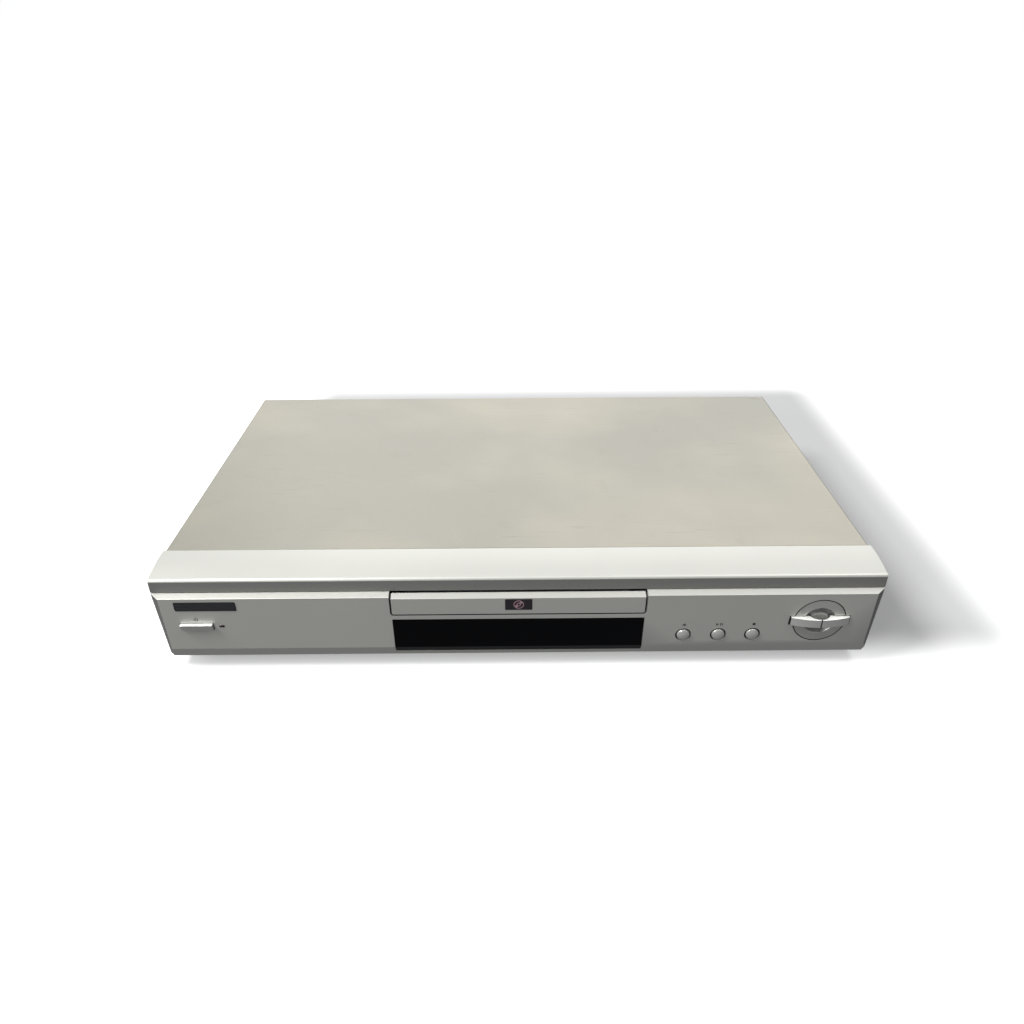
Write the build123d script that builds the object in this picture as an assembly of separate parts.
from build123d import *
import math
import os

# A full-width disc player: a folded steel cover over a pan, a moulded front with
# a motor-driven tray, and the boards, loader and sockets inside.
# Millimetres. +X is to the right seen from the front, +Y to the back, +Z up.
# The origin is on the standing surface, at the middle of the whole player.
# Depths are measured backwards from the front lip, heights upwards from the
# bottom edge of the front panel.

# Overall
BODY_WIDTH = 430.0
LID_HEIGHT = 60.6
LID_BACK = 262.9
FOOT_HEIGHT = 8.0
REAR_PANEL_BACK = 258.9
JACK_PROUD = 8.5
SKIP_FRONT = 7.4

# Front moulding
SHOULDER_BACK = 27.8
SHOULDER_BULGE = 0.72
NOSE_TOP = 58.3
NOSE_BOTTOM = 56.6
NOSE_ROUND = 2.2
LIP_BOTTOM = 49.0
GROOVE_HEIGHT = 0.5
GROOVE_DEPTH = 1.2
LEDGE_FORWARD = 4.4
LEDGE_HEIGHT = 47.8
LEDGE_ROUND = 0.6
FACE_SLOPE = 0.055
CHAMFER_TOP = 9.1
CHAMFER_BACK = 2.5
BEVEL_WIDTH = 5.0
SIDE_TAPER = 2.9
BEZEL_WALL = 2.4
TONGUE_LENGTH = 6.0
TONGUE_THICKNESS = 1.8
BOSS_RADIUS = 2.6

# Sheet metal
SHEET = 0.8
PAN_SHEET = 1.0
COVER_INSET = 1.0
COVER_BEND = 1.8
COVER_GAP = 0.3
COVER_SIDE_BOTTOM = 1.4
PAN_BOTTOM = 1.0
PAN_FLANGE = 14.0
PAN_FRONT_FLANGE = 30.0
PAN_RIB_DEPTH = 0.6
PAN_RIB_WIDTH = 6.0
PAN_RIB_BACKS = (64.0, 140.0, 216.0)
VENT_COUNT = 12
VENT_PITCH = 9.0
VENT_WIDTH = 3.0
VENT_HEIGHT = 22.0
VENT_BACK = 90.0
VENT_BOTTOM = 20.0

# Feet
FOOT_RADIUS = 15.0
FOOT_TOP_RADIUS = 13.0
FOOT_INSET = 37.0
FOOT_FRONT = 48.0
FOOT_REAR = 232.0
PAD_HEIGHT = 1.5
PAD_RADIUS = 12.0

# Tray door, window and the strip between
DOOR_WIDTH = 149.1
DOOR_BOTTOM = 34.7
DOOR_TOP = 48.0
DOOR_LEDGE_BACK = 0.3
DOOR_GAP = 1.0
DOOR_BOTTOM_GAP = 0.4
DOOR_CORNER = 1.6
DOOR_WALL = 2.4
WINDOW_TOP = 30.9
WINDOW_BOTTOM = 4.3
WINDOW_THICKNESS = 2.0
WINDOW_GAP = 0.15

# Buttons
BUTTON_HEIGHT = 17.45
BUTTON_SHARES = (0.2346, 0.4353, 0.6321)
BUTTON_RADIUS = 3.8
BUTTON_RING = 0.88
BUTTON_PROUD = 0.6
BUTTON_DOME = 0.8
STEM_RADIUS = 2.0
STEM_CLEARANCE = 0.4
PRESS_TRAVEL = 0.6
SWITCH_SIDE = 6.0
SWITCH_BODY = 3.0
PLUNGER_LENGTH = 1.2
PLUNGER_RADIUS = 1.6
PLUNGER_SLACK = 0.15
BOARD = 1.6
FRONT_BOARD_FRONT = 13.6
FRONT_BOARD_BOTTOM = 4.0
FRONT_BOARD_TOP_GAP = 2.3
FRONT_BOARD_END = 10.0
FRONT_BOARD_LAP = 6.45
STANDBY_BOARD_HEIGHTS = (10.0, 38.0)
STANDBY_BOARD_END = 8.0
STANDBY_BOARD_LAP = 10.2
TUBE_FRONT = 3.0
TUBE_THICKNESS = 5.5
TUBE_INSET = 14.55
TUBE_ROUND = 1.5
TUBE_HEIGHTS = (10.0, 27.0)
LEAD_PITCH = 14
LEAD_SIZE = (0.8, 0.5)

POWER_INSET = 14.6
POWER_WIDTH = 19.1
POWER_TOP = 29.2
POWER_SIDE_BOTTOM = 25.0
POWER_MIDDLE_BOTTOM = 23.3
POWER_PROUD = 2.4
POWER_FOOT_PROUD = 0.3
POWER_GAP = 0.35
POWER_BACK = 1.6
LIGHT_OFFSET = 5.1
LIGHT_HEIGHT = 27.0
LIGHT_LENGTH = 3.2
LIGHT_BREADTH = 1.8

# Skip control: a round dish with a bar of two buttons across it
DISH_INSET = 35.8
DISH_HEIGHT = 27.8
DISH_RADIUS = 15.4
DISH_GAP = 0.25
DISH_CREST = 0.2
DISH_RING_RADIUS = 9.5
DISH_BOWL_DEPTH = 1.8
DISH_DISC_RADIUS = 5.6
DISH_DISC_DOME = 0.7
DISH_THICKNESS = 4.2
SKIP_HALF_LENGTH = 17.6
SKIP_BOTTOM = 25.2
SKIP_TOP = 30.9
SKIP_END_FRONT = 4.3
SKIP_BACK_DEPTH = 2.5
SKIP_SPLIT = 0.3
SKIP_SCOOP = 6.9
SKIP_FRONT_WALL = 0.8
SKIP_STEM_X = 10.0
SKIP_POCKET_DEPTH = 0.85
SKIP_POCKET_GAP = 0.4

# Loader
SPINDLE_BACK = 72.0
TRAY_FRONT = -1.2
TRAY_RIM = 5.0
TRAY_BOTTOM = 37.5
TRAY_TOP = 44.2
TRAY_WALL = 1.8
TRAY_TRAVEL = 138.0
DISC_RECESS_RADIUS = 61.0
DISC_FLOOR = 41.6
SMALL_RECESS_RADIUS = 41.0
SMALL_FLOOR = 40.2
TRAY_SLOT_HALF = 19.0
TRAY_RAIL = 3.2
TRAY_RAIL_BOTTOM = 40.0
TRAY_RAIL_TOP = 42.0
RAIL_GAP = 0.3
RAIL_THICKNESS = 1.8
TRAY_SIDE_GAP = 1.8
RAIL_LAP = 1.2
FRAME_WALL = 2.5
FRAME_FRONT = 18.0
FRAME_REAR_GAP = 7.0
FRAME_BOTTOM = 6.0
FRAME_FLOOR = 2.5
FRAME_CROSS_TOP = 33.0
FRAME_TOP = 48.0
DECK_SIDE_GAP = 2.5
DECK_OPENING_FRONT = 28.0
DECK_OPENING_BACK = 190.0
FRAME_EAR = 9.0
FRAME_EAR_RADIUS = 5.4
LOADER_FOOT_INSET = 26.0
LOADER_FOOT_RADIUS = 4.0
GROMMET_RADIUS = 4.4
GROMMET_HEIGHT = 1.2
EAR_HOLE = 2.2

BRIDGE_FRONT = 50.0
BRIDGE_BACK = 94.0
BRIDGE_SHEET = 1.2
BRIDGE_RIB = 2.2
CLAMPER_BOTTOM = 45.6
CLAMPER_RADIUS = 15.5
CLAMPER_THICKNESS = 1.6
CLAMPER_HUB = 7.5
CLAMPER_FLANGE = 10.0
CLAMPER_FLANGE_THICKNESS = 1.0
CLAMPER_PLAY = 0.4
CLAMPER_RECESS = 8.3
CLAMPER_RECESS_DEPTH = 1.2
MAGNET_RADIUS = 6.0
MAGNET_HEIGHT = 1.6

# Disc deck under the tray
DECK_HALF_WIDTH = 44.0
DECK_FRONT = 34.0
DECK_BACK = 186.0
DECK_TOP = 33.0
DECK_PLATE = 2.4
DECK_FLANGE = 7.0
DECK_WALL = 2.0
DECK_WINDOW_HALF = 27.0
DECK_WINDOW_FRONT = 86.0
DECK_WINDOW_MARGIN = 1.0
DECK_DROP_DEG = 5.0
PIVOT_BACK = 182.0
PIVOT_HEIGHT = 28.0
PIVOT_RADIUS = 2.0
PIVOT_FIT = 0.05
PIVOT_BRACKET = 3.4
CAM_PIN_RADIUS = 1.5
CAM_PIN_HEIGHT = 29.0
CAM_TRAVEL = 27.0
CAM_PLATE = 3.5
CAM_PLATE_GAP = 0.3
CAM_SLOT_PLAY = 0.4
CAM_MARGIN = 5.0
SPINDLE_MOTOR_RADIUS = 12.5
SPINDLE_MOTOR_BOTTOM = 24.0
SPINDLE_MOTOR_TOP = 36.0
TURNTABLE_RADIUS = 14.5
TURNTABLE_TOP = 44.4
TURNTABLE_PLATE = 1.6
TURNTABLE_CONE = 7.3
TURNTABLE_CONE_TOP = 5.6
TURNTABLE_CONE_HEIGHT = 2.0
SHAFT_RADIUS = 1.0
SHAFT_FIT = 0.05
SLED_TRAVEL = 35.0
SLED_FRONT = 87.0
SLED_LENGTH = 27.0
SLED_HALF_WIDTH = 18.6
SLED_BOTTOM = 25.0
SLED_TOP = 36.4
LENS_RADIUS = 3.4
LENS_TOP = 39.6
LENS_FROM_SLED_FRONT = 10.0
ROD_RADIUS = 1.5
ROD_FIT = 0.05
ROD_X = 22.8
ROD_HEIGHT = 28.0
ROD_BUSH = 3.0
SCREW_X = 32.0
SCREW_RADIUS = 2.0
SCREW_HEIGHT = 27.0
SCREW_NUT_GAP = 0.3
SLED_MOTOR_RADIUS = 6.0
SLED_MOTOR_LENGTH = 18.0

# Tray drive
GEAR_MODULE = 1.0
TRAY_GEAR_TEETH = 20
PINION_TEETH = 10
RACK_INSET = 16.0
RACK_RUN_OUT = 4.0
RACK_BACKING = 3.6
RACK_HEIGHT = 2.8
RACK_FIRST = 40.0
GEAR_BACK = 48.0
GEAR_THICKNESS = 3.4
GEAR_TOP = 37.2
GEAR_BACKLASH = 0.25
AXLE_RADIUS = 1.6
AXLE_FIT = 0.05
AXLE_BOSS = 3.4
PULLEY_RADIUS = 10.4
PULLEY_TOP = 31.6
PULLEY_THICKNESS = 4.0
MOTOR_PULLEY_RADIUS = 3.6
MOTOR_BACK = 78.0
MOTOR_RADIUS = 10.4
MOTOR_TOP = 26.0
BELT_SECTION = 1.5
BELT_FIT = 0.08
GROOVE = 1.3

# Boards and what stands on them
STANDOFF_HEIGHT = 6.0
STANDOFF_RADIUS = 3.0
SCREW_HEAD_RADIUS = 2.8
SCREW_HEAD_HEIGHT = 1.4
COVER_SCREW_HEAD = 3.4
COVER_SCREW_HEIGHT = 0.9
BOARD_SIDE_GAP = 13.0
POWER_BOARD_GAP = 16.5
MAIN_BOARD_GAP = 10.5
POWER_BOARD_Y = (92.0, 250.0)
MAIN_BOARD_Y = (84.0, 250.0)
BOARD_SCREW_INSET = 6.0
RIBBON_INSET = 20.0
RIBBON_WIDTH = 24.0
RIBBON_LAP = 6.0
LOADER_RIBBON_Y = (150.0, 168.0)
RIBBON_HEIGHT = 14.0
RIBBON_THICKNESS = 0.4
TRANSFORMER_INSET = 48.0
TRANSFORMER_BACK = 160.0
TRANSFORMER_SIZE = (32.0, 26.0, 26.0)
CORE_LEG = 6.0
CAPACITORS_OUTER = ((26.0, 130.0, 9.0, 30.0),)
CAPACITORS_INNER = ((28.0, 122.0, 5.0, 20.0), (14.0, 122.0, 5.0, 20.0), (14.0, 138.0, 5.0, 16.0),
                    (28.0, 138.0, 4.0, 16.0), (14.0, 206.0, 4.0, 12.0))
HEAT_SINK_INSET = 10.0
HEAT_SINK_WIDTH = 41.4
HEAT_SINK_BACK = 176.0
HEAT_SINK_TALL = 28.0
HEAT_SINK_PLATE = 2.0
HEAT_SINK_FIN = (1.4, 12.0)
HEAT_SINK_PITCH = 8.0
CHOKE_INSET = 60.0
CHOKE_BACK = 212.0
CHOKE_CORE = (18.0, 10.0, 16.0)
CHOKE_COIL_RADIUS = 8.0
CHOKE_FLANGE = 3.0
CHIPS = ((46.0, 130.0, 28.0, 28.0, 3.0), (82.0, 122.0, 10.0, 22.0, 1.6), (82.0, 148.0, 10.0, 22.0, 1.6),
         (20.0, 128.0, 10.0, 18.0, 1.8), (36.0, 176.0, 16.0, 12.0, 2.0))
CONNECTOR_INSET = 6.0
CONNECTOR_SIZE = (8.0, 20.0, 8.0)
CONNECTOR_WALL = 1.0
CONNECTOR_BACKS = (200.0, 214.0)
JACK_INSET = 26.0
JACK_PITCH = 14.0
JACK_HEIGHTS = (20.0, 36.0)
JACK_RADIUS = 4.15
JACK_BORE = 1.65
JACK_INSULATOR = 3.2
JACK_HOLE_GAP = 0.85
JACK_BLOCK_DEPTH = 15.0
JACK_MARGIN = 9.0
VIDEO_JACK_STEP = 28.0
VIDEO_JACK_HEIGHT = 22.0
VIDEO_JACK_RADIUS = 4.6
VIDEO_JACK_SIDE = 14.0
INLET_INSET = 30.0
INLET_HEIGHT = 24.0
INLET_WIDTH = 24.0
INLET_TALL = 17.0
INLET_DEPTH = 22.0
INLET_PROUD = 2.0
INLET_PIN_RADIUS = 1.2
INLET_PIN_SPACING = 8.6
INLET_CAVITY_WIDTH = 17.0
INLET_CAVITY_TALL = 8.6
INLET_CAVITY_DEPTH = 13.0

# Screws of the case
COVER_SIDE_SCREW_HEIGHT = 10.0
COVER_SIDE_SCREW_STEP = 30.0
COVER_REAR_SCREW_HEIGHT = 50.0
COVER_REAR_SCREW_INSETS = (65.0, 25.0)
PANEL_SCREW_HEIGHT = 8.0
PANEL_SCREW_INSET = 10.0
PANEL_SCREW_X = 60.0
JACK_SCREW_HEIGHT = 28.0
JACK_SCREW_STEP = 5.5

# Worked out from the sizes above
OVERALL_DEPTH = SKIP_FRONT + REAR_PANEL_BACK + JACK_PROUD
LIP_Y = SKIP_FRONT - OVERALL_DEPTH / 2
HALF_WIDTH = BODY_WIDTH / 2
COVER_HALF = HALF_WIDTH - COVER_INSET
FOOT_X = HALF_WIDTH - FOOT_INSET
DOOR_HALF = DOOR_WIDTH / 2
DISH_X = HALF_WIDTH - DISH_INSET
BUTTON_XS = tuple(DOOR_HALF + share * (DISH_X - DOOR_HALF) for share in BUTTON_SHARES)
BUTTON_HOLE = BUTTON_RADIUS + BUTTON_RING
POWER_LEFT = POWER_INSET - HALF_WIDTH
POWER_RIGHT = POWER_LEFT + POWER_WIDTH
POWER_STEM_HEIGHT = (POWER_TOP + POWER_MIDDLE_BOTTOM) / 2
LIGHT_X = POWER_RIGHT + LIGHT_OFFSET
SKIP_MIDDLE = (SKIP_BOTTOM + SKIP_TOP) / 2
TRAY_HALF_WIDTH = DISC_RECESS_RADIUS + TRAY_RIM
FRAME_HALF_WIDTH = TRAY_HALF_WIDTH + TRAY_RAIL + TRAY_SIDE_GAP + FRAME_WALL
DECK_OPENING_HALF = DECK_HALF_WIDTH + DECK_SIDE_GAP
RACK_X = RACK_INSET - TRAY_HALF_WIDTH
TRAY_BACK = GEAR_BACK + TRAY_TRAVEL + RACK_RUN_OUT
FRAME_BACK = TRAY_BACK + FRAME_REAR_GAP
DECK_WINDOW_BACK = SLED_FRONT + SLED_LENGTH + SLED_TRAVEL + DECK_WINDOW_MARGIN
POWER_BOARD_X = (BOARD_SIDE_GAP - HALF_WIDTH, -FRAME_HALF_WIDTH - POWER_BOARD_GAP)
MAIN_BOARD_X = (FRAME_HALF_WIDTH + MAIN_BOARD_GAP, HALF_WIDTH - BOARD_SIDE_GAP)
RIBBON_X = (MAIN_BOARD_X[0] + RIBBON_INSET, MAIN_BOARD_X[0] + RIBBON_INSET + RIBBON_WIDTH)
TRANSFORMER_X = POWER_BOARD_X[1] - TRANSFORMER_INSET
JACK_XS = tuple(MAIN_BOARD_X[0] + JACK_INSET + i * JACK_PITCH for i in range(3))
VIDEO_JACK_X = JACK_XS[-1] + VIDEO_JACK_STEP
INLET_X = POWER_BOARD_X[0] + INLET_INSET
PLUNGER_GAP = PRESS_TRAVEL + PLUNGER_SLACK
PAN_HALF = COVER_HALF - SHEET - 0.2
PAN_FLOOR_TOP = PAN_BOTTOM + PAN_SHEET
REAR_PANEL_FRONT = REAR_PANEL_BACK - SHEET
BOARD_BOTTOM = PAN_FLOOR_TOP + STANDOFF_HEIGHT
BOARD_TOP = BOARD_BOTTOM + BOARD
SWITCH_FRONT = FRONT_BOARD_FRONT - SWITCH_BODY
PLUNGER_TIP = SWITCH_FRONT - PLUNGER_LENGTH
STEM_END = PLUNGER_TIP - PLUNGER_GAP
FRAME_INNER = FRAME_HALF_WIDTH - FRAME_WALL
FRAME_FLOOR_TOP = FRAME_BOTTOM + FRAME_FLOOR
TRAY_GEAR_RADIUS = GEAR_MODULE * TRAY_GEAR_TEETH / 2
PINION_RADIUS = GEAR_MODULE * PINION_TEETH / 2
GEAR_X = RACK_X - TRAY_GEAR_RADIUS
PULLEY_BACK = GEAR_BACK - TRAY_GEAR_RADIUS - PINION_RADIUS
GEAR_BOTTOM = GEAR_TOP - GEAR_THICKNESS
PULLEY_BOTTOM = PULLEY_TOP - PULLEY_THICKNESS
BELT_HEIGHT = (PULLEY_TOP + PULLEY_BOTTOM) / 2
CAM_FRONT = FRAME_FRONT + FRAME_WALL + CAM_PLATE_GAP
CAM_DROP = (PIVOT_BACK - CAM_FRONT) * math.sin(math.radians(DECK_DROP_DEG))
BELT_INSET = GROOVE - BELT_FIT


def up(height):
    """Z of a height above the bottom edge of the front panel."""
    return FOOT_HEIGHT + height


def back(depth):
    """Y of a depth behind the front lip."""
    return LIP_Y + depth


def face_depth(height):
    """Depth of the sloping front face at a height."""
    return -LEDGE_FORWARD + FACE_SLOPE * (LEDGE_HEIGHT - height)


def chamfer_depth(height):
    """Depth of the chamfer below the front face at a height."""
    run = CHAMFER_BACK - face_depth(CHAMFER_TOP)
    return CHAMFER_BACK - run * height / CHAMFER_TOP


# Shape helpers: each takes plain x values, depths and heights

def block(x, depth, height):
    """Box between two values on each axis."""
    size = Box(x[1] - x[0], depth[1] - depth[0], height[1] - height[0], align=(Align.MIN,) * 3)
    return Pos(x[0], back(depth[0]), up(height[0])) * size


def post(x, depth, radius, height):
    """Upright cylinder between two heights."""
    size = Cylinder(radius, height[1] - height[0], align=(Align.CENTER, Align.CENTER, Align.MIN))
    return Pos(x, back(depth), up(height[0])) * size


def bar(x, height, radius, depth):
    """Cylinder from front to back between two depths."""
    size = Cylinder(radius, depth[1] - depth[0], align=(Align.CENTER, Align.CENTER, Align.MIN))
    return Pos(x, back(depth[0]), up(height)) * Rot(-90, 0, 0) * size


def pin(depth, height, radius, x):
    """Cylinder from left to right between two x values."""
    size = Cylinder(radius, x[1] - x[0], align=(Align.CENTER, Align.CENTER, Align.MIN))
    return Pos(x[0], back(depth), up(height)) * Rot(0, 90, 0) * size


def cone(x, depth, low, high, height):
    """Upright cone between two heights."""
    size = Cone(low, high, height[1] - height[0], align=(Align.CENTER, Align.CENTER, Align.MIN))
    return Pos(x, back(depth), up(height[0])) * size


def along_x(face, x):
    """Push a face drawn as depth and height from one x to another."""
    return extrude(Pos(x[0], back(0), up(0)) * (Plane.YZ * face), amount=x[1] - x[0], dir=(1, 0, 0))


def along_y(face, depth):
    """Push a face drawn as x and height from one depth to another."""
    placed = Pos(0, back(depth[0]), up(0)) * (Plane.XZ * face)
    return extrude(placed, amount=depth[1] - depth[0], dir=(0, 1, 0))


def along_z(face, height):
    """Push a face drawn as x and depth from one height to another."""
    return extrude(Pos(0, back(0), up(height[0])) * face, amount=height[1] - height[0], dir=(0, 0, 1))


def outline(*points):
    """Closed face through straight-line points."""
    return Polygon(*points, align=None)


def both_sides(shape):
    """A shape and its mirror image across the middle."""
    return [shape, mirror(shape, Plane.YZ)]


def together(pieces):
    """Pieces of one node, fused where they touch."""
    return pieces[0] + pieces[1:]


# Front moulding and what sits in it

def bezel_section():
    """Section of the front moulding, front to back, as depth and height."""
    middle = ((SHOULDER_BACK + NOSE_ROUND) / 2, (LID_HEIGHT + NOSE_TOP) / 2 + SHOULDER_BULGE)
    shoulder = ThreePointArc((SHOULDER_BACK, LID_HEIGHT), middle, (NOSE_ROUND, NOSE_TOP))
    quarter = 1 - math.sqrt(0.5)
    turn = (NOSE_ROUND * quarter, NOSE_TOP - (NOSE_TOP - NOSE_BOTTOM) * quarter)
    nose = ThreePointArc((NOSE_ROUND, NOSE_TOP), turn, (0, NOSE_BOTTOM))
    ledge = math.hypot(LEDGE_FORWARD, LIP_BOTTOM - LEDGE_HEIGHT)
    ledge_end = (
        -LEDGE_FORWARD + LEDGE_ROUND * LEDGE_FORWARD / ledge,
        LEDGE_HEIGHT + LEDGE_ROUND * (LIP_BOTTOM - LEDGE_HEIGHT) / ledge,
    )
    under = Polyline(
        (0, NOSE_BOTTOM),
        (0, LIP_BOTTOM + GROOVE_HEIGHT),
        (GROOVE_DEPTH, LIP_BOTTOM + GROOVE_HEIGHT),
        (GROOVE_DEPTH, LIP_BOTTOM),
        (0, LIP_BOTTOM),
        ledge_end,
    )
    face_start = (face_depth(LEDGE_HEIGHT - LEDGE_ROUND), LEDGE_HEIGHT - LEDGE_ROUND)
    corner = (-LEDGE_FORWARD + LEDGE_ROUND * 0.12, LEDGE_HEIGHT - LEDGE_ROUND * 0.08)
    edge = ThreePointArc(ledge_end, corner, face_start)
    front = Polyline(
        face_start,
        (face_depth(CHAMFER_TOP), CHAMFER_TOP),
        (CHAMFER_BACK, 0),
        (SHOULDER_BACK, 0),
        (SHOULDER_BACK, LID_HEIGHT),
    )
    return make_face(shoulder + nose + under + edge + front)


def window_section(top, bottom, thickness):
    """Section that follows the face and the chamfer between two heights."""
    return outline(
        (face_depth(top), top),
        (face_depth(CHAMFER_TOP), CHAMFER_TOP),
        (chamfer_depth(bottom), bottom),
        (chamfer_depth(bottom) + thickness, bottom),
        (face_depth(CHAMFER_TOP) + thickness, CHAMFER_TOP),
        (face_depth(top) + thickness, top),
    )


def bezel_sides():
    """What the tapered sides and the mitred side bevels take away."""
    far = HALF_WIDTH + 20
    low = -5
    taper = outline((HALF_WIDTH, LIP_BOTTOM), (far, LIP_BOTTOM), (far, low),
                    (HALF_WIDTH - SIDE_TAPER * (LIP_BOTTOM - low) / LIP_BOTTOM, low))
    reach = 3 * LEDGE_FORWARD
    slope = BEVEL_WIDTH / LEDGE_FORWARD
    bevel = outline((HALF_WIDTH, 0), (HALF_WIDTH - slope * reach, -reach), (far, -reach), (far, 0))
    tilt = math.degrees(math.atan(SIDE_TAPER / LIP_BOTTOM))
    hinge = Pos(HALF_WIDTH, back(0), up(LIP_BOTTOM))
    turn = hinge * Rot(0, tilt, 0) * hinge.inverse()
    cut = turn * along_z(bevel, (-12, LIP_BOTTOM + 12))
    below = block((0, far), (-reach, SHOULDER_BACK), (-12, LIP_BOTTOM))
    cut = cut & below
    cuts = [along_y(taper, (-reach, SHOULDER_BACK + 5)), cut]
    return [side for shape in cuts for side in both_sides(shape)]


def power_face(gap):
    """Outline of the power button: flat top and bowed lower edge."""
    left = POWER_LEFT - gap
    right = POWER_RIGHT + gap
    low = POWER_SIDE_BOTTOM - gap
    edges = Polyline((left, low), (left, POWER_TOP + gap), (right, POWER_TOP + gap), (right, low))
    bow = ThreePointArc((right, low), ((left + right) / 2, POWER_MIDDLE_BOTTOM - gap), (left, low))
    return make_face(edges + bow)


def board_bosses():
    """Places of the screw bosses that carry the front boards."""
    window = DOOR_HALF + BOSS_RADIUS + 1
    beside = DISH_RADIUS + 2 * BOSS_RADIUS
    low = CHAMFER_TOP + BOSS_RADIUS
    near_dish = [(DISH_X + side * beside, low) for side in (-1, 1)]
    return [(-window, 20.0), (window, low), (window + 8, 29.0)] + near_dish


def standby_bosses():
    """Places of the screw bosses that carry the small left board."""
    return [(POWER_LEFT - 3.1, 14.0), (LIGHT_X + 4.2, 34.0)]


def front_bezel():
    """Moulded front with its openings, bosses and rear tongue."""
    section = bezel_section()
    body = along_x(section, (-HALF_WIDTH, HALF_WIDTH))
    body -= bezel_sides()
    hollow = offset(section, amount=-BEZEL_WALL, kind=Kind.INTERSECTION)
    mouth_top = LID_HEIGHT - SHEET - COVER_GAP - TONGUE_THICKNESS
    mouth = outline((SHOULDER_BACK / 2, BEZEL_WALL), (SHOULDER_BACK + 1, BEZEL_WALL),
                    (SHOULDER_BACK + 1, mouth_top), (SHOULDER_BACK / 2, mouth_top))
    inside = HALF_WIDTH - SIDE_TAPER - BEZEL_WALL
    body -= along_x(hollow + mouth, (-inside, inside))
    tongue_top = mouth_top + TONGUE_THICKNESS
    body += block((-inside, inside), (SHOULDER_BACK - 1, SHOULDER_BACK + TONGUE_LENGTH),
                  (mouth_top, tongue_top))
    for x, height in board_bosses() + standby_bosses():
        body += bar(x, height, BOSS_RADIUS, (face_depth(height) + 1, FRONT_BOARD_FRONT))
    half = DOOR_HALF + DOOR_GAP
    low = DOOR_BOTTOM - DOOR_BOTTOM_GAP
    mouth = block((-half, half), (-12, 12), (low, LIP_BOTTOM))
    mouth = fillet(mouth.edges().filter_by(Axis.Y).group_by(Axis.Z)[0], DOOR_CORNER)
    body -= mouth
    half = DOOR_HALF + WINDOW_GAP
    body -= block((-half, half), (-12, 12), (WINDOW_BOTTOM - WINDOW_GAP, WINDOW_TOP + WINDOW_GAP))
    for x in BUTTON_XS:
        body -= bar(x, BUTTON_HEIGHT, BUTTON_HOLE, (-12, 6))
    body -= bar(DISH_X, DISH_HEIGHT, DISH_RADIUS + DISH_GAP, (-12, 6))
    body -= skip_pocket()
    body -= along_y(power_face(POWER_GAP), (-12, 6))
    body -= along_y(Pos(LIGHT_X, LIGHT_HEIGHT) * SlotOverall(LIGHT_LENGTH, LIGHT_BREADTH), (-12, 6))
    return body


def skip_pocket():
    """Two shallow pockets beside the disc that the skip buttons sink into."""
    half = SKIP_HALF_LENGTH + SKIP_POCKET_GAP
    low = SKIP_BOTTOM - SKIP_POCKET_GAP
    high = SKIP_TOP + SKIP_POCKET_GAP
    inner = DISH_DISC_RADIUS + SKIP_POCKET_GAP
    depth = (-12, SKIP_POCKET_DEPTH - SKIP_BACK_DEPTH)
    return [block((DISH_X + start, DISH_X + end), depth, (low, high))
            for start, end in ((-half, -inner), (inner, half))]


def skip_scoop():
    """Upright cylinder that hollows the back of the skip bar round the disc."""
    centre = SKIP_FRONT_WALL - SKIP_FRONT + SKIP_SCOOP
    return post(DISH_X, centre, SKIP_SCOOP, (SKIP_BOTTOM - 1, SKIP_TOP + 1))


def display_window():
    """Dark glossy window, flush with the face and the chamfer."""
    return along_x(window_section(WINDOW_TOP, WINDOW_BOTTOM, WINDOW_THICKNESS), (-DOOR_HALF, DOOR_HALF))


def display_tube():
    """Glass display tube behind the window, with its two rows of leads."""
    half = DOOR_HALF - TUBE_INSET
    rear = TUBE_FRONT + TUBE_THICKNESS
    tube = block((-half, half), (TUBE_FRONT, rear), TUBE_HEIGHTS)
    tube = fillet(tube.edges().filter_by(Axis.Y), TUBE_ROUND)
    wide, tall = LEAD_SIZE
    reach = LEAD_PITCH * int(half / LEAD_PITCH)
    leads = [block((x, x + wide), (rear, FRONT_BOARD_FRONT), (height, height + tall))
             for x in range(-reach, reach + 1, LEAD_PITCH)
             for height in (TUBE_HEIGHTS[0] + 2, TUBE_HEIGHTS[1] - 2 - tall)]
    return together([tube] + leads)


def round_button(x):
    """Domed round cap on its stem."""
    front = face_depth(BUTTON_HEIGHT) - BUTTON_PROUD
    cap = bar(x, BUTTON_HEIGHT, BUTTON_RADIUS, (front, 2.0))
    radius = (BUTTON_RADIUS**2 + BUTTON_DOME**2) / (2 * BUTTON_DOME)
    dome = Pos(x, back(front - BUTTON_DOME + radius), up(BUTTON_HEIGHT)) * Sphere(radius)
    crown = dome & bar(x, BUTTON_HEIGHT, BUTTON_RADIUS, (front - BUTTON_DOME, front))
    return cap + crown + bar(x, BUTTON_HEIGHT, STEM_RADIUS, (2.0, STEM_END))


def power_button():
    """Wedge-shaped power button: proud at the top, nearly flush below."""
    top = face_depth(POWER_TOP) - POWER_PROUD
    foot = face_depth(POWER_MIDDLE_BOTTOM) - POWER_FOOT_PROUD
    wedge = outline((top, POWER_TOP), (foot, POWER_MIDDLE_BOTTOM - 1), (POWER_BACK, POWER_MIDDLE_BOTTOM - 1),
                    (POWER_BACK, POWER_TOP))
    body = along_x(wedge, (POWER_LEFT, POWER_RIGHT)) & along_y(power_face(0), (-10, POWER_BACK))
    stem = bar((POWER_LEFT + POWER_RIGHT) / 2, POWER_STEM_HEIGHT, STEM_RADIUS, (POWER_BACK, STEM_END))
    return body + stem


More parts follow.
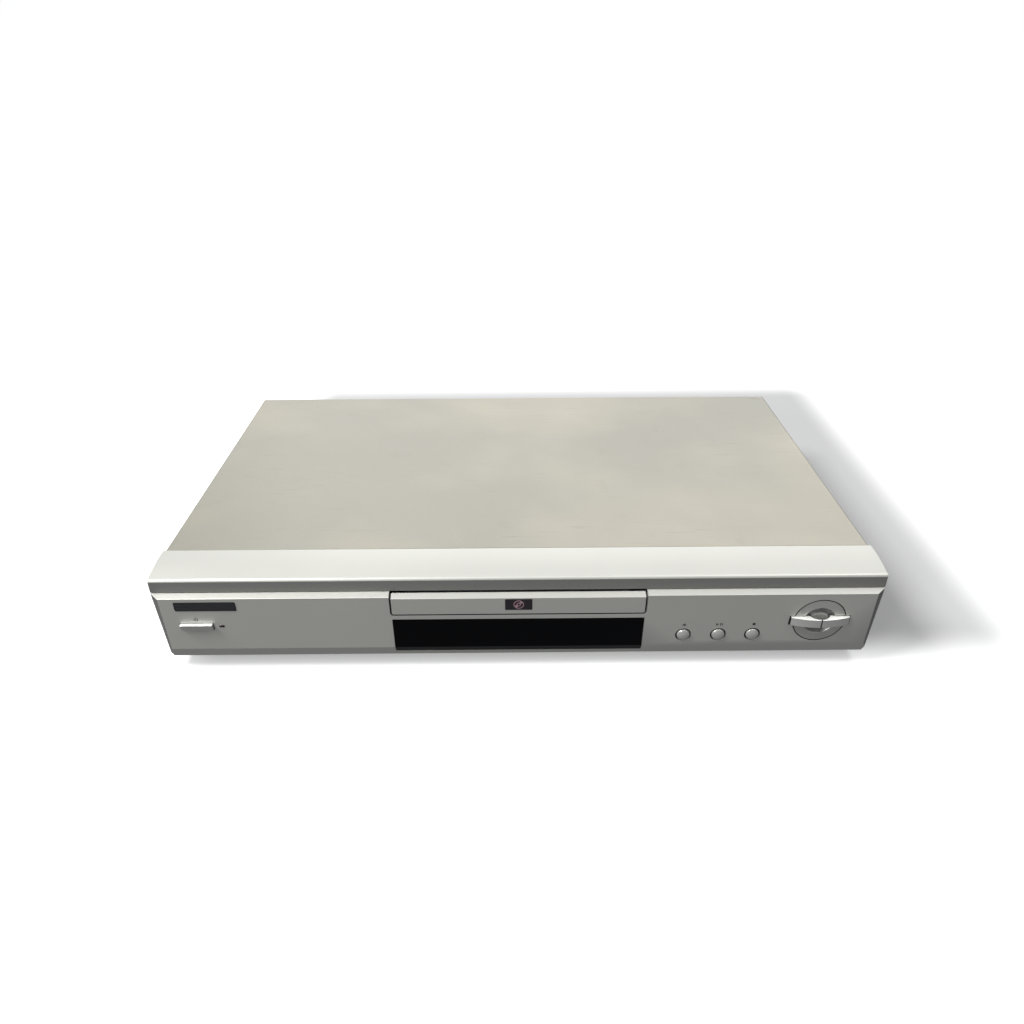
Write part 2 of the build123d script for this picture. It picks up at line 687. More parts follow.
def skip_button(side):
    """One half of the skip bar, bowed forward, with its stem."""
    ends = (DISH_X - SKIP_HALF_LENGTH, DISH_X + SKIP_HALF_LENGTH)
    bow = ThreePointArc((ends[0], -SKIP_END_FRONT), (DISH_X, -SKIP_FRONT), (ends[1], -SKIP_END_FRONT))
    rest = Polyline((ends[1], -SKIP_END_FRONT), (ends[1], -SKIP_BACK_DEPTH),
                    (ends[0], -SKIP_BACK_DEPTH), (ends[0], -SKIP_END_FRONT))
    body = along_z(make_face(bow + rest), (SKIP_BOTTOM, SKIP_TOP))
    body -= skip_scoop()
    inner = DISH_X + side * SKIP_SPLIT / 2
    outer = DISH_X + side * (SKIP_HALF_LENGTH + 1)
    body = body & block((min(inner, outer), max(inner, outer)), (-12, 0), (SKIP_BOTTOM, SKIP_TOP))
    return body + bar(DISH_X + side * SKIP_STEM_X, SKIP_MIDDLE, STEM_RADIUS, (-SKIP_BACK_DEPTH, STEM_END))


def skip_dish():
    """Round dish with a bowl and a domed disc, turned about the face's normal."""
    bowl_mid = (DISH_RING_RADIUS + DISH_DISC_RADIUS) / 2
    crest = (DISH_RING_RADIUS, DISH_CREST)
    rim = Polyline((0, -DISH_THICKNESS), (DISH_RADIUS, -DISH_THICKNESS), (DISH_RADIUS, 0), crest)
    bowl = ThreePointArc(crest, (bowl_mid, -DISH_BOWL_DEPTH), (DISH_DISC_RADIUS, -DISH_DISC_DOME))
    disc = TangentArc((0, 0), (DISH_DISC_RADIUS, -DISH_DISC_DOME), tangent=(1, 0))
    axis = Line((0, 0), (0, -DISH_THICKNESS))
    turned = revolve(Plane.XZ * make_face(rim + bowl + disc + axis), Axis.Z)
    lean = math.degrees(math.atan(FACE_SLOPE))
    seat = Pos(DISH_X, back(face_depth(DISH_HEIGHT)), up(DISH_HEIGHT)) * Rot(90 + lean, 0, 0)
    dish = seat * turned
    dish -= skip_pocket()
    for side in (-1, 1):
        dish -= bar(DISH_X + side * SKIP_STEM_X, SKIP_MIDDLE, STEM_RADIUS + STEM_CLEARANCE, (-12, 6))
    return dish


def standby_lens():
    """Small light pipe beside the power button."""
    pipe = Pos(LIGHT_X, LIGHT_HEIGHT) * SlotOverall(LIGHT_LENGTH - 0.2, LIGHT_BREADTH - 0.2)
    return along_y(pipe, (face_depth(LIGHT_HEIGHT) - 0.2, FRONT_BOARD_FRONT))


def front_board():
    """Printed board behind the display and the right-hand buttons."""
    return block((-DOOR_HALF - FRONT_BOARD_LAP, HALF_WIDTH - FRONT_BOARD_END),
                 (FRONT_BOARD_FRONT, FRONT_BOARD_FRONT + BOARD),
                 (FRONT_BOARD_BOTTOM, DOOR_BOTTOM - FRONT_BOARD_TOP_GAP))


def standby_board():
    """Small printed board behind the power button."""
    return block((STANDBY_BOARD_END - HALF_WIDTH, LIGHT_X + STANDBY_BOARD_LAP),
                 (FRONT_BOARD_FRONT, FRONT_BOARD_FRONT + BOARD), STANDBY_BOARD_HEIGHTS)


def tact_switches():
    """One push switch behind each button."""
    places = [(x, BUTTON_HEIGHT) for x in BUTTON_XS]
    places += [(DISH_X + side * SKIP_STEM_X, SKIP_MIDDLE) for side in (-1, 1)]
    places += [((POWER_LEFT + POWER_RIGHT) / 2, POWER_STEM_HEIGHT)]
    half = SWITCH_SIDE / 2
    pieces = []
    for x, height in places:
        pieces.append(block((x - half, x + half), (SWITCH_FRONT, FRONT_BOARD_FRONT),
                            (height - half, height + half)))
        pieces.append(bar(x, height, PLUNGER_RADIUS, (PLUNGER_TIP, SWITCH_FRONT)))
    return together(pieces)


# Case

def top_cover():
    """Folded steel cover with rounded long edges and side vents."""
    front = SHOULDER_BACK + COVER_GAP
    body = block((-COVER_HALF, COVER_HALF), (front, LID_BACK), (COVER_SIDE_BOTTOM, LID_HEIGHT))
    body = fillet(body.edges().filter_by(Axis.Y).group_by(Axis.Z)[-1], COVER_BEND)
    inner_half = COVER_HALF - SHEET
    inner = block((-inner_half, inner_half), (front - 1, LID_BACK + 1),
                  (COVER_SIDE_BOTTOM - 1, LID_HEIGHT - SHEET))
    inner = fillet(inner.edges().filter_by(Axis.Y).group_by(Axis.Z)[-1], COVER_BEND - SHEET)
    body -= inner
    slots = []
    for i in range(VENT_COUNT):
        start = VENT_BACK + i * VENT_PITCH
        slots.append(block((-HALF_WIDTH, HALF_WIDTH), (start, start + VENT_WIDTH),
                           (VENT_BOTTOM, VENT_BOTTOM + VENT_HEIGHT)))
    return body - slots


def standoff_places():
    """Places of the posts that carry the two large boards."""
    inset = BOARD_SCREW_INSET
    places = []
    for xs, depths in ((POWER_BOARD_X, POWER_BOARD_Y), (MAIN_BOARD_X, MAIN_BOARD_Y)):
        for x in (xs[0] + inset, xs[1] - inset):
            for depth in (depths[0] + inset, depths[1] - inset):
                places.append((x, depth))
    return places


def loader_feet():
    """Places of the four posts that carry the loader."""
    x = FRAME_HALF_WIDTH + FRAME_EAR / 2
    inset = LOADER_FOOT_INSET
    return [(side * x, depth) for side in (-1, 1) for depth in (FRAME_FRONT + inset, FRAME_BACK - inset)]


def chassis_base():
    """Steel pan: floor with pressed ribs, side and front flanges, loader posts."""
    front = SHOULDER_BACK + 0.3
    rear = REAR_PANEL_FRONT
    floor = block((-PAN_HALF, PAN_HALF), (front, rear), (PAN_BOTTOM, PAN_FLOOR_TOP))
    side = block((PAN_HALF - PAN_SHEET, PAN_HALF), (front, rear), (PAN_BOTTOM, PAN_FLANGE))
    lip = block((FRAME_HALF_WIDTH + 14, PAN_HALF - PAN_SHEET), (front, front + PAN_SHEET),
                (PAN_BOTTOM, PAN_FRONT_FLANGE))
    pan = together([floor] + both_sides(side) + both_sides(lip))
    ribbed = (FRAME_HALF_WIDTH + 22, PAN_HALF - 17)
    for depth in PAN_RIB_BACKS:
        rib = block(ribbed, (depth, depth + PAN_RIB_WIDTH), (PAN_FLOOR_TOP, PAN_FLOOR_TOP + PAN_RIB_DEPTH))
        pan += both_sides(rib)
    pan -= block((RIBBON_X[0] - 3, RIBBON_X[1] + 3), (front - 1, front + 2),
                 (RIBBON_HEIGHT - 4, PAN_FRONT_FLANGE + 1))
    for x, depth in loader_feet():
        pan += post(x, depth, LOADER_FOOT_RADIUS, (PAN_FLOOR_TOP, FRAME_BOTTOM - GROMMET_HEIGHT))
    return pan


def jack_places():
    """x and height of each phono socket."""
    return [(x, height) for x in JACK_XS for height in JACK_HEIGHTS]


def rear_panel():
    """Steel rear panel with the openings of the sockets."""
    top = LID_HEIGHT - SHEET - COVER_GAP
    panel = block((-PAN_HALF, PAN_HALF), (REAR_PANEL_FRONT, REAR_PANEL_BACK), (PAN_BOTTOM, top))
    for x, height in jack_places():
        panel -= bar(x, height, JACK_RADIUS + JACK_HOLE_GAP, (REAR_PANEL_FRONT - 1, REAR_PANEL_BACK + 1))
    panel -= bar(VIDEO_JACK_X, VIDEO_JACK_HEIGHT, VIDEO_JACK_RADIUS + 1.2,
                 (REAR_PANEL_FRONT - 1, REAR_PANEL_BACK + 1))
    half = INLET_WIDTH / 2 + 0.3
    tall = INLET_TALL / 2 + 0.3
    panel -= block((INLET_X - half, INLET_X + half), (REAR_PANEL_FRONT - 1, REAR_PANEL_BACK + 1),
                   (INLET_HEIGHT - tall, INLET_HEIGHT + tall))
    return panel


def foot_places():
    """Places of the four feet."""
    return [(x, depth) for x in (-FOOT_X, FOOT_X) for depth in (FOOT_FRONT, FOOT_REAR)]


def feet():
    """Four moulded feet under the pan."""
    bottom = PAD_HEIGHT - FOOT_HEIGHT
    span = (bottom, PAN_BOTTOM)
    return together([cone(x, depth, FOOT_RADIUS, FOOT_TOP_RADIUS, span) for x, depth in foot_places()])


def foot_pads():
    """Four rubber pads under the feet."""
    span = (-FOOT_HEIGHT, PAD_HEIGHT - FOOT_HEIGHT)
    return together([post(x, depth, PAD_RADIUS, span) for x, depth in foot_places()])


# Loader

def tray_door():
    """Silver door on the front of the tray, with its own ledge."""
    front_top = DOOR_TOP - (LIP_BOTTOM - LEDGE_HEIGHT)
    section = outline(
        (DOOR_LEDGE_BACK, DOOR_TOP),
        (face_depth(front_top), front_top),
        (face_depth(DOOR_BOTTOM), DOOR_BOTTOM),
        (TRAY_FRONT, DOOR_BOTTOM),
        (TRAY_FRONT, DOOR_TOP - DOOR_WALL),
        (DOOR_LEDGE_BACK, DOOR_TOP - DOOR_WALL),
    )
    body = along_x(section, (-DOOR_HALF, DOOR_HALF))
    corners = body.edges().filter_by(Axis.Y).group_by(Axis.Z)[0]
    return fillet(corners, DOOR_CORNER - 0.6)


def disc_tray():
    """Disc tray: two recesses, a slot for the turntable, side rails and a rack."""
    half = TRAY_HALF_WIDTH
    body = block((-half, half), (TRAY_FRONT, TRAY_BACK), (TRAY_BOTTOM, TRAY_TOP))
    rail = block((half, half + TRAY_RAIL), (FRAME_FRONT, TRAY_BACK), (TRAY_RAIL_BOTTOM, TRAY_RAIL_TOP))
    body = together([body] + both_sides(rail))
    body -= post(0, SPINDLE_BACK, DISC_RECESS_RADIUS, (DISC_FLOOR, TRAY_TOP + 1))
    body -= post(0, SPINDLE_BACK, SMALL_RECESS_RADIUS, (SMALL_FLOOR, TRAY_TOP + 1))
    body -= post(0, SPINDLE_BACK, TRAY_SLOT_HALF, (TRAY_BOTTOM - 1, TRAY_TOP + 1))
    body -= block((-TRAY_SLOT_HALF, TRAY_SLOT_HALF), (SPINDLE_BACK, TRAY_BACK + 1),
                  (TRAY_BOTTOM - 1, TRAY_TOP + 1))
    behind = SPINDLE_BACK + DISC_RECESS_RADIUS
    pocket = block((TRAY_SLOT_HALF + TRAY_WALL, half - TRAY_WALL), (behind, TRAY_BACK - TRAY_WALL),
                   (TRAY_BOTTOM + TRAY_WALL, TRAY_TOP + 1))
    body -= both_sides(pocket)
    return body + rack()


def rack():
    """Toothed rack under the tray, in mesh with the tray gear at rest."""
    pitch = math.pi * GEAR_MODULE
    tip = RACK_X - 0.8 * GEAR_MODULE
    root = RACK_X + 1.1 * GEAR_MODULE
    bottom = TRAY_BOTTOM - RACK_HEIGHT
    teeth = [block((root, root + RACK_BACKING), (RACK_FIRST, TRAY_BACK), (bottom, TRAY_BOTTOM))]
    count = int((TRAY_BACK - RACK_FIRST) / pitch) - 1
    first = GEAR_BACK + pitch * (math.ceil((RACK_FIRST - GEAR_BACK) / pitch) + 0.5)
    half = pitch / 4 - GEAR_BACKLASH / 2
    lean = math.tan(math.radians(20)) * GEAR_MODULE
    for i in range(count):
        middle = first + i * pitch
        tooth = outline((root + 0.2, middle - half - 1.1 * lean), (tip, middle - half + 0.8 * lean),
                        (tip, middle + half - 0.8 * lean), (root + 0.2, middle + half + 1.1 * lean))
        teeth.append(along_z(tooth, (bottom, TRAY_BOTTOM)))
    return together(teeth)


def gear(x, depth, teeth, height):
    """Spur gear with straight-flanked teeth, one tooth pointing along +X."""
    pitch_radius = GEAR_MODULE * teeth / 2
    root = pitch_radius - 1.1 * GEAR_MODULE
    tip = pitch_radius + 0.8 * GEAR_MODULE
    half = math.pi * GEAR_MODULE / 4 - GEAR_BACKLASH / 2
    lean = math.tan(math.radians(20)) * GEAR_MODULE
    points = []
    for i in range(teeth):
        middle = 2 * math.pi * i / teeth
        for radius, width, side in ((root, half + 0.6 * lean, -1), (tip, half - 0.8 * lean, -1),
                                    (tip, half - 0.8 * lean, 1), (root, half + 0.6 * lean, 1)):
            angle = middle + side * width / radius
            points.append((x + radius * math.cos(angle), depth + radius * math.sin(angle)))
    return along_z(outline(*points), height)


def tray_gear():
    """Gear that drives the rack."""
    body = gear(GEAR_X, GEAR_BACK, TRAY_GEAR_TEETH, (GEAR_BOTTOM, GEAR_TOP))
    return body - post(GEAR_X, GEAR_BACK, AXLE_RADIUS + AXLE_FIT, (GEAR_BOTTOM - 1, GEAR_TOP + 1))


def grooved_pulley(x, depth, radius, height):
    """Pulley with a groove for the belt."""
    body = post(x, depth, radius, height)
    middle = (height[0] + height[1]) / 2
    half = BELT_SECTION / 2 + 0.2
    ring = post(x, depth, radius + 1, (middle - half, middle + half)) - post(
        x, depth, radius - GROOVE, (middle - half - 1, middle + half + 1))
    return body - ring


def pulley_gear():
    """Belt pulley and pinion in one piece."""
    pulley = grooved_pulley(GEAR_X, PULLEY_BACK, PULLEY_RADIUS, (PULLEY_BOTTOM, PULLEY_TOP))
    neck = post(GEAR_X, PULLEY_BACK, PINION_RADIUS - 1.1 * GEAR_MODULE, (PULLEY_TOP, GEAR_BOTTOM))
    pinion = gear(GEAR_X, PULLEY_BACK, PINION_TEETH, (GEAR_BOTTOM, GEAR_TOP))
    body = pulley + neck + pinion
    return body - post(GEAR_X, PULLEY_BACK, AXLE_RADIUS + AXLE_FIT, (PULLEY_BOTTOM - 1, GEAR_TOP + 1))


def motor_pulley():
    """Small pulley on the loading motor's shaft."""
    body = grooved_pulley(GEAR_X, MOTOR_BACK, MOTOR_PULLEY_RADIUS, (PULLEY_BOTTOM, PULLEY_TOP))
    return body - post(GEAR_X, MOTOR_BACK, SHAFT_RADIUS + SHAFT_FIT, (PULLEY_BOTTOM - 1, PULLEY_TOP + 1))


def loading_motor():
    """Small round motor with its shaft."""
    can = post(GEAR_X, MOTOR_BACK, MOTOR_RADIUS, (FRAME_FLOOR_TOP, MOTOR_TOP))
    collar = post(GEAR_X, MOTOR_BACK, 3.0, (MOTOR_TOP, MOTOR_TOP + 1.0))
    shaft = post(GEAR_X, MOTOR_BACK, SHAFT_RADIUS, (MOTOR_TOP + 1.0, PULLEY_TOP - 0.2))
    return can + collar + shaft


def drive_belt():
    """Square rubber belt round the two pulleys."""
    big = PULLEY_RADIUS - BELT_INSET
    small = MOTOR_PULLEY_RADIUS - BELT_INSET
    run = MOTOR_BACK - PULLEY_BACK
    lean = math.asin((big - small) / run)

    def loop(grow):
        """Outline of the belt, grown outwards."""
        wide = big + grow
        narrow = small + grow
        a = (GEAR_X + wide * math.cos(lean), PULLEY_BACK + wide * math.sin(lean))
        b = (GEAR_X + narrow * math.cos(lean), MOTOR_BACK + narrow * math.sin(lean))
        c = (2 * GEAR_X - b[0], b[1])
        d = (2 * GEAR_X - a[0], a[1])
        edges = Line(a, b) + ThreePointArc(b, (GEAR_X, MOTOR_BACK + narrow), c) + Line(c, d)
        return make_face(edges + ThreePointArc(d, (GEAR_X, PULLEY_BACK - wide), a))

    half = BELT_SECTION / 2
    return along_z(loop(BELT_SECTION) - loop(0), (BELT_HEIGHT - half, BELT_HEIGHT + half))


def loader_frame():
    """Moulded loader frame: side walls with tray rails, floor, axle bosses, ears."""
    wall = block((FRAME_INNER, FRAME_HALF_WIDTH), (FRAME_FRONT, FRAME_BACK), (FRAME_BOTTOM, FRAME_TOP))
    floor = block((-FRAME_HALF_WIDTH, FRAME_HALF_WIDTH), (FRAME_FRONT, FRAME_BACK),
                  (FRAME_BOTTOM, FRAME_FLOOR_TOP))
    cross = block((-FRAME_INNER, FRAME_INNER), (FRAME_FRONT, FRAME_FRONT + FRAME_WALL),
                  (FRAME_BOTTOM, FRAME_CROSS_TOP))
    rear = block((-FRAME_INNER, FRAME_INNER), (FRAME_BACK - FRAME_WALL, FRAME_BACK),
                 (FRAME_BOTTOM, FRAME_TOP))
    rail_in = TRAY_HALF_WIDTH + RAIL_LAP
    low = TRAY_RAIL_BOTTOM - RAIL_GAP
    high = TRAY_RAIL_TOP + RAIL_GAP
    under = block((rail_in, FRAME_INNER), (FRAME_FRONT, FRAME_BACK), (low - RAIL_THICKNESS, low))
    over = block((rail_in, FRAME_INNER), (FRAME_FRONT, FRAME_BACK), (high, high + RAIL_THICKNESS))
    frame = together([floor, cross, rear] + both_sides(wall) + both_sides(under) + both_sides(over))
    half = DECK_OPENING_HALF
    frame -= block((-half, half), (DECK_OPENING_FRONT, DECK_OPENING_BACK),
                   (FRAME_BOTTOM - 1, FRAME_FLOOR_TOP + 1))
    for depth, start in ((GEAR_BACK, GEAR_BOTTOM), (PULLEY_BACK, PULLEY_BOTTOM)):
        frame += post(GEAR_X, depth, AXLE_BOSS, (FRAME_FLOOR_TOP, start - RAIL_GAP))
        frame += post(GEAR_X, depth, AXLE_RADIUS, (FRAME_FLOOR_TOP, GEAR_TOP))
    bracket_top = PIVOT_HEIGHT + PIVOT_RADIUS + 1.4
    bracket = block((DECK_OPENING_HALF, DECK_OPENING_HALF + PIVOT_BRACKET), (PIVOT_BACK - 5, PIVOT_BACK + 5),
                    (FRAME_FLOOR_TOP, bracket_top))
    bore = pin(PIVOT_BACK, PIVOT_HEIGHT, PIVOT_RADIUS + PIVOT_FIT, (-FRAME_INNER, FRAME_INNER))
    for side in both_sides(bracket):
        frame += side - bore
    for x, depth in loader_feet():
        reach = (depth - FRAME_EAR_RADIUS, depth + FRAME_EAR_RADIUS)
        ear = block((min(x, 0), max(x, 0)), reach, (FRAME_BOTTOM, FRAME_FLOOR_TOP))
        ear += post(x, depth, FRAME_EAR_RADIUS, (FRAME_BOTTOM, FRAME_FLOOR_TOP))
        outside = FRAME_HALF_WIDTH - 1
        ear -= block((-outside, outside), (depth - 7, depth + 7), (FRAME_BOTTOM - 1, FRAME_FLOOR_TOP + 1))
        frame += ear
        frame -= post(x, depth, EAR_HOLE, (FRAME_BOTTOM - 1, FRAME_FLOOR_TOP + 1))
    return frame


def cam_slider():
    """Cam plate with a sloping slot that lowers the deck's front pin."""
    left = -CAM_TRAVEL - CAM_MARGIN
    low = FRAME_FLOOR_TOP + CAM_PLATE_GAP
    plate = outline((left, low), (CAM_MARGIN, low), (CAM_MARGIN, FRAME_CROSS_TOP), (left, FRAME_CROSS_TOP))
    width = 2 * (CAM_PIN_RADIUS + CAM_SLOT_PLAY)
    slot = SlotCenterToCenter(math.hypot(CAM_TRAVEL, CAM_DROP), width)
    tilt = math.degrees(math.atan2(CAM_DROP, CAM_TRAVEL))
    centre = Pos(-CAM_TRAVEL / 2, CAM_PIN_HEIGHT - CAM_DROP / 2) * Rot(0, 0, tilt)
    return along_y(plate - centre * slot, (CAM_FRONT, CAM_FRONT + CAM_PLATE))


def deck_frame():
    """Tilting deck: plate with flanges, pickup window, pivots and cam pin."""
    bottom = DECK_TOP - DECK_PLATE
    half = DECK_HALF_WIDTH
    plate = block((-half, half), (DECK_FRONT, DECK_BACK), (bottom, DECK_TOP))
    skirt_low = DECK_TOP - DECK_FLANGE
    skirt = block((half - DECK_WALL, half), (DECK_FRONT, DECK_BACK), (skirt_low, DECK_TOP))
    ends = [block((-half, half), (start, start + DECK_WALL), (skirt_low, DECK_TOP))
            for start in (DECK_FRONT, DECK_BACK - DECK_WALL)]
    deck = together([plate] + ends + both_sides(skirt))
    window = DECK_WINDOW_HALF
    deck -= block((-window, window), (DECK_WINDOW_FRONT, DECK_WINDOW_BACK), (bottom - 1, DECK_TOP + 1))
    deck -= post(0, SPINDLE_BACK, SPINDLE_MOTOR_RADIUS + 0.1, (bottom - 1, DECK_TOP + 1))
    motor_half = SLED_MOTOR_RADIUS + 0.4
    motor_front = DECK_WINDOW_BACK + 2
    deck -= block((SCREW_X - motor_half, SCREW_X + motor_half),
                  (motor_front, motor_front + SLED_MOTOR_LENGTH + 0.6),
                  (bottom - 1, DECK_TOP + 1))
    for side in (-1, 1):
        for depth in (DECK_WINDOW_FRONT - 3, DECK_WINDOW_BACK):
            x = side * ROD_X
            deck += block((x - 3, x + 3), (depth, depth + 3), (ROD_HEIGHT - 3, bottom))
    for depth in (DECK_WINDOW_FRONT - 3, DECK_WINDOW_BACK):
        deck += block((SCREW_X - 3, SCREW_X + 3), (depth, depth + 1.8), (SCREW_HEIGHT - 3.5, bottom))
        deck -= bar(SCREW_X, SCREW_HEIGHT, SCREW_RADIUS + SHAFT_FIT, (depth - 1, depth + 3))
    for side in (-1, 1):
        deck -= bar(side * ROD_X, ROD_HEIGHT, ROD_RADIUS, (DECK_WINDOW_FRONT - 3, DECK_WINDOW_BACK + 3))
    reach = DECK_OPENING_HALF + PIVOT_BRACKET - 0.4
    lug = block((half - DECK_WALL, half), (PIVOT_BACK - 4, PIVOT_BACK + 4), (PIVOT_HEIGHT - 3, DECK_TOP - 1))
    for side in both_sides(lug + pin(PIVOT_BACK, PIVOT_HEIGHT, PIVOT_RADIUS, (half - 1, reach))):
        deck += side
    deck += bar(0, CAM_PIN_HEIGHT, CAM_PIN_RADIUS, (CAM_FRONT + 0.1, DECK_FRONT + 1))
    return deck


def spindle_motor():
    """Flat spindle motor in the deck."""
    body = post(0, SPINDLE_BACK, SPINDLE_MOTOR_RADIUS, (SPINDLE_MOTOR_BOTTOM, SPINDLE_MOTOR_TOP))
    span = (SPINDLE_MOTOR_TOP - 6, SPINDLE_MOTOR_TOP + 1)
    return body - post(0, SPINDLE_BACK, SHAFT_RADIUS + SHAFT_FIT, span)


def turntable():
    """Turntable with its centring cone, on the motor's shaft."""
    plate_bottom = TURNTABLE_TOP - TURNTABLE_PLATE
    shaft = post(0, SPINDLE_BACK, SHAFT_RADIUS, (SPINDLE_MOTOR_TOP - 5.5, plate_bottom))
    hub = post(0, SPINDLE_BACK, 8.0, (SPINDLE_MOTOR_TOP + 0.6, plate_bottom))
    plate = post(0, SPINDLE_BACK, TURNTABLE_RADIUS, (plate_bottom, TURNTABLE_TOP))
    span = (TURNTABLE_TOP, TURNTABLE_TOP + TURNTABLE_CONE_HEIGHT)
    top = cone(0, SPINDLE_BACK, TURNTABLE_CONE, TURNTABLE_CONE_TOP, span)
    return shaft + hub + plate + top


def clamper():
    """Round clamper that hangs in the bridge over the turntable."""
    disc_top = CLAMPER_BOTTOM + CLAMPER_THICKNESS
    plate_top = FRAME_TOP + BRIDGE_SHEET
    flange_bottom = plate_top + CLAMPER_PLAY
    body = post(0, SPINDLE_BACK, CLAMPER_RADIUS, (CLAMPER_BOTTOM, disc_top))
    body += post(0, SPINDLE_BACK, CLAMPER_HUB, (disc_top, flange_bottom))
    body += post(0, SPINDLE_BACK, CLAMPER_FLANGE, (flange_bottom, flange_bottom + CLAMPER_FLANGE_THICKNESS))
    span = (CLAMPER_BOTTOM - 1, CLAMPER_BOTTOM + CLAMPER_RECESS_DEPTH)
    return body - post(0, SPINDLE_BACK, CLAMPER_RECESS, span)


def clamper_magnet():
    """Ring magnet on top of the clamper."""
    low = FRAME_TOP + BRIDGE_SHEET + CLAMPER_PLAY + CLAMPER_FLANGE_THICKNESS
    ring = post(0, SPINDLE_BACK, MAGNET_RADIUS, (low, low + MAGNET_HEIGHT))
    return ring - post(0, SPINDLE_BACK, MAGNET_RADIUS / 2, (low - 1, low + MAGNET_HEIGHT + 1))


def clamper_bridge():
    """Steel bridge over the tray with pressed ribs and the clamper's hole."""
    half = FRAME_HALF_WIDTH
    top = FRAME_TOP + BRIDGE_SHEET
    plate = block((-half, half), (BRIDGE_FRONT, BRIDGE_BACK), (FRAME_TOP, top))
    ribs = [block((-half + 8, half - 8), (start, start + 2), (top, top + BRIDGE_RIB))
            for start in (BRIDGE_FRONT + 4, BRIDGE_BACK - 6)]
    bridge = together([plate] + ribs)
    return bridge - post(0, SPINDLE_BACK, CLAMPER_HUB + CLAMPER_PLAY, (FRAME_TOP - 1, top + 1))


def guide_rods():
    """Two steel rods that the pickup slides on."""
    return together([bar(side * ROD_X, ROD_HEIGHT, ROD_RADIUS, (DECK_WINDOW_FRONT - 3, DECK_WINDOW_BACK + 3))
                     for side in (-1, 1)])


def pickup_sled():
    """Pickup body with its bushes on the rods and an arm at the lead screw."""
    back_end = SLED_FRONT + SLED_LENGTH
    half = SLED_HALF_WIDTH
    body = block((-half, half), (SLED_FRONT, back_end), (SLED_BOTTOM, SLED_TOP))
    for side in (-1, 1):
        x = side * ROD_X
        web = block((min(side * half, x) - 0.2, max(side * half, x) + 0.2), (SLED_FRONT, back_end),
                    (ROD_HEIGHT - 2.4, ROD_HEIGHT + 2.0))
        body += web
        body += bar(x, ROD_HEIGHT, ROD_BUSH, (SLED_FRONT, back_end))
    nut_front = SLED_FRONT + 6
    nut_x = SCREW_X - SCREW_RADIUS - SCREW_NUT_GAP
    body += block((ROD_X, nut_x), (nut_front, nut_front + 8), (SCREW_HEIGHT - 1.8, SCREW_HEIGHT + 1.6))
    for side in (-1, 1):
        body -= bar(side * ROD_X, ROD_HEIGHT, ROD_RADIUS + ROD_FIT, (SLED_FRONT - 1, back_end + 1))
    lens_back = SLED_FRONT + LENS_FROM_SLED_FRONT
    return body - post(0, lens_back, LENS_RADIUS + 2.4, (SLED_TOP - 3, SLED_TOP + 1))


def pickup_lens():
    """Lens in its holder on top of the pickup."""
    lens_back = SLED_FRONT + LENS_FROM_SLED_FRONT
    holder = post(0, lens_back, LENS_RADIUS + 1.2, (SLED_TOP - 3, SLED_TOP + 1.6))
    return holder + cone(0, lens_back, LENS_RADIUS, LENS_RADIUS - 1.2, (SLED_TOP + 1.6, LENS_TOP))


def lead_screw():
    """Steel screw beside the pickup."""
    return bar(SCREW_X, SCREW_HEIGHT, SCREW_RADIUS, (DECK_WINDOW_FRONT - 4, DECK_WINDOW_BACK + 1.8))


def sled_motor():
    """Small motor behind the lead screw."""
    front = DECK_WINDOW_BACK + 2.1
    return bar(SCREW_X, SCREW_HEIGHT, SLED_MOTOR_RADIUS, (front, front + SLED_MOTOR_LENGTH))


def loader_grommets():
    """Rubber grommets between the loader's ears and the pan's posts."""
    span = (FRAME_BOTTOM - GROMMET_HEIGHT, FRAME_BOTTOM)
    return together([post(x, depth, GROMMET_RADIUS, span) for x, depth in loader_feet()])


def loader_screws():
    """Screw heads on the loader's ears."""
    span = (FRAME_FLOOR_TOP, FRAME_FLOOR_TOP + SCREW_HEAD_HEIGHT)
    return together([post(x, depth, SCREW_HEAD_RADIUS + 0.8, span) for x, depth in loader_feet()])


# Boards and sockets

def board_standoffs():
    """Posts that carry the two large boards."""
    span = (PAN_FLOOR_TOP, BOARD_BOTTOM)
    return together([post(x, depth, STANDOFF_RADIUS, span) for x, depth in standoff_places()])


def board_screws():
    """Screw heads on the two large boards."""
    return together([post(x, depth, SCREW_HEAD_RADIUS, (BOARD_TOP, BOARD_TOP + SCREW_HEAD_HEIGHT))
                     for x, depth in standoff_places()])


def power_board():
    """Printed board of the power supply."""
    return block(POWER_BOARD_X, POWER_BOARD_Y, (BOARD_BOTTOM, BOARD_TOP))


def main_board():
    """Printed board with the decoder and the sockets."""
    return block(MAIN_BOARD_X, MAIN_BOARD_Y, (BOARD_BOTTOM, BOARD_TOP))


def transformer():
    """Ferrite core round a wound bobbin."""
    wide, deep, tall = TRANSFORMER_SIZE
    x = (TRANSFORMER_X - wide / 2, TRANSFORMER_X + wide / 2)
    depth = (TRANSFORMER_BACK - deep / 2, TRANSFORMER_BACK + deep / 2)
    core = block(x, (depth[0] + CORE_LEG, depth[1] - CORE_LEG), (BOARD_TOP + 2, BOARD_TOP + tall))
    coil = block((x[0] + CORE_LEG, x[1] - CORE_LEG), depth,
                 (BOARD_TOP + 2 + CORE_LEG, BOARD_TOP + tall - CORE_LEG))
    coil = fillet(coil.edges().filter_by(Axis.X), 4.0)
    base = block((x[0] + 3, x[1] - 3), (depth[0] + 1, depth[1] - 1), (BOARD_TOP, BOARD_TOP + 2))
    return core + coil + base


def capacitors():
    """Electrolytic capacitors of the power supply."""
    left, right = POWER_BOARD_X
    sizes = [(left + inset, *rest) for inset, *rest in CAPACITORS_OUTER]
    sizes += [(right - inset, *rest) for inset, *rest in CAPACITORS_INNER]
    return together([post(x, depth, radius, (BOARD_TOP, BOARD_TOP + tall))
                     for x, depth, radius, tall in sizes])


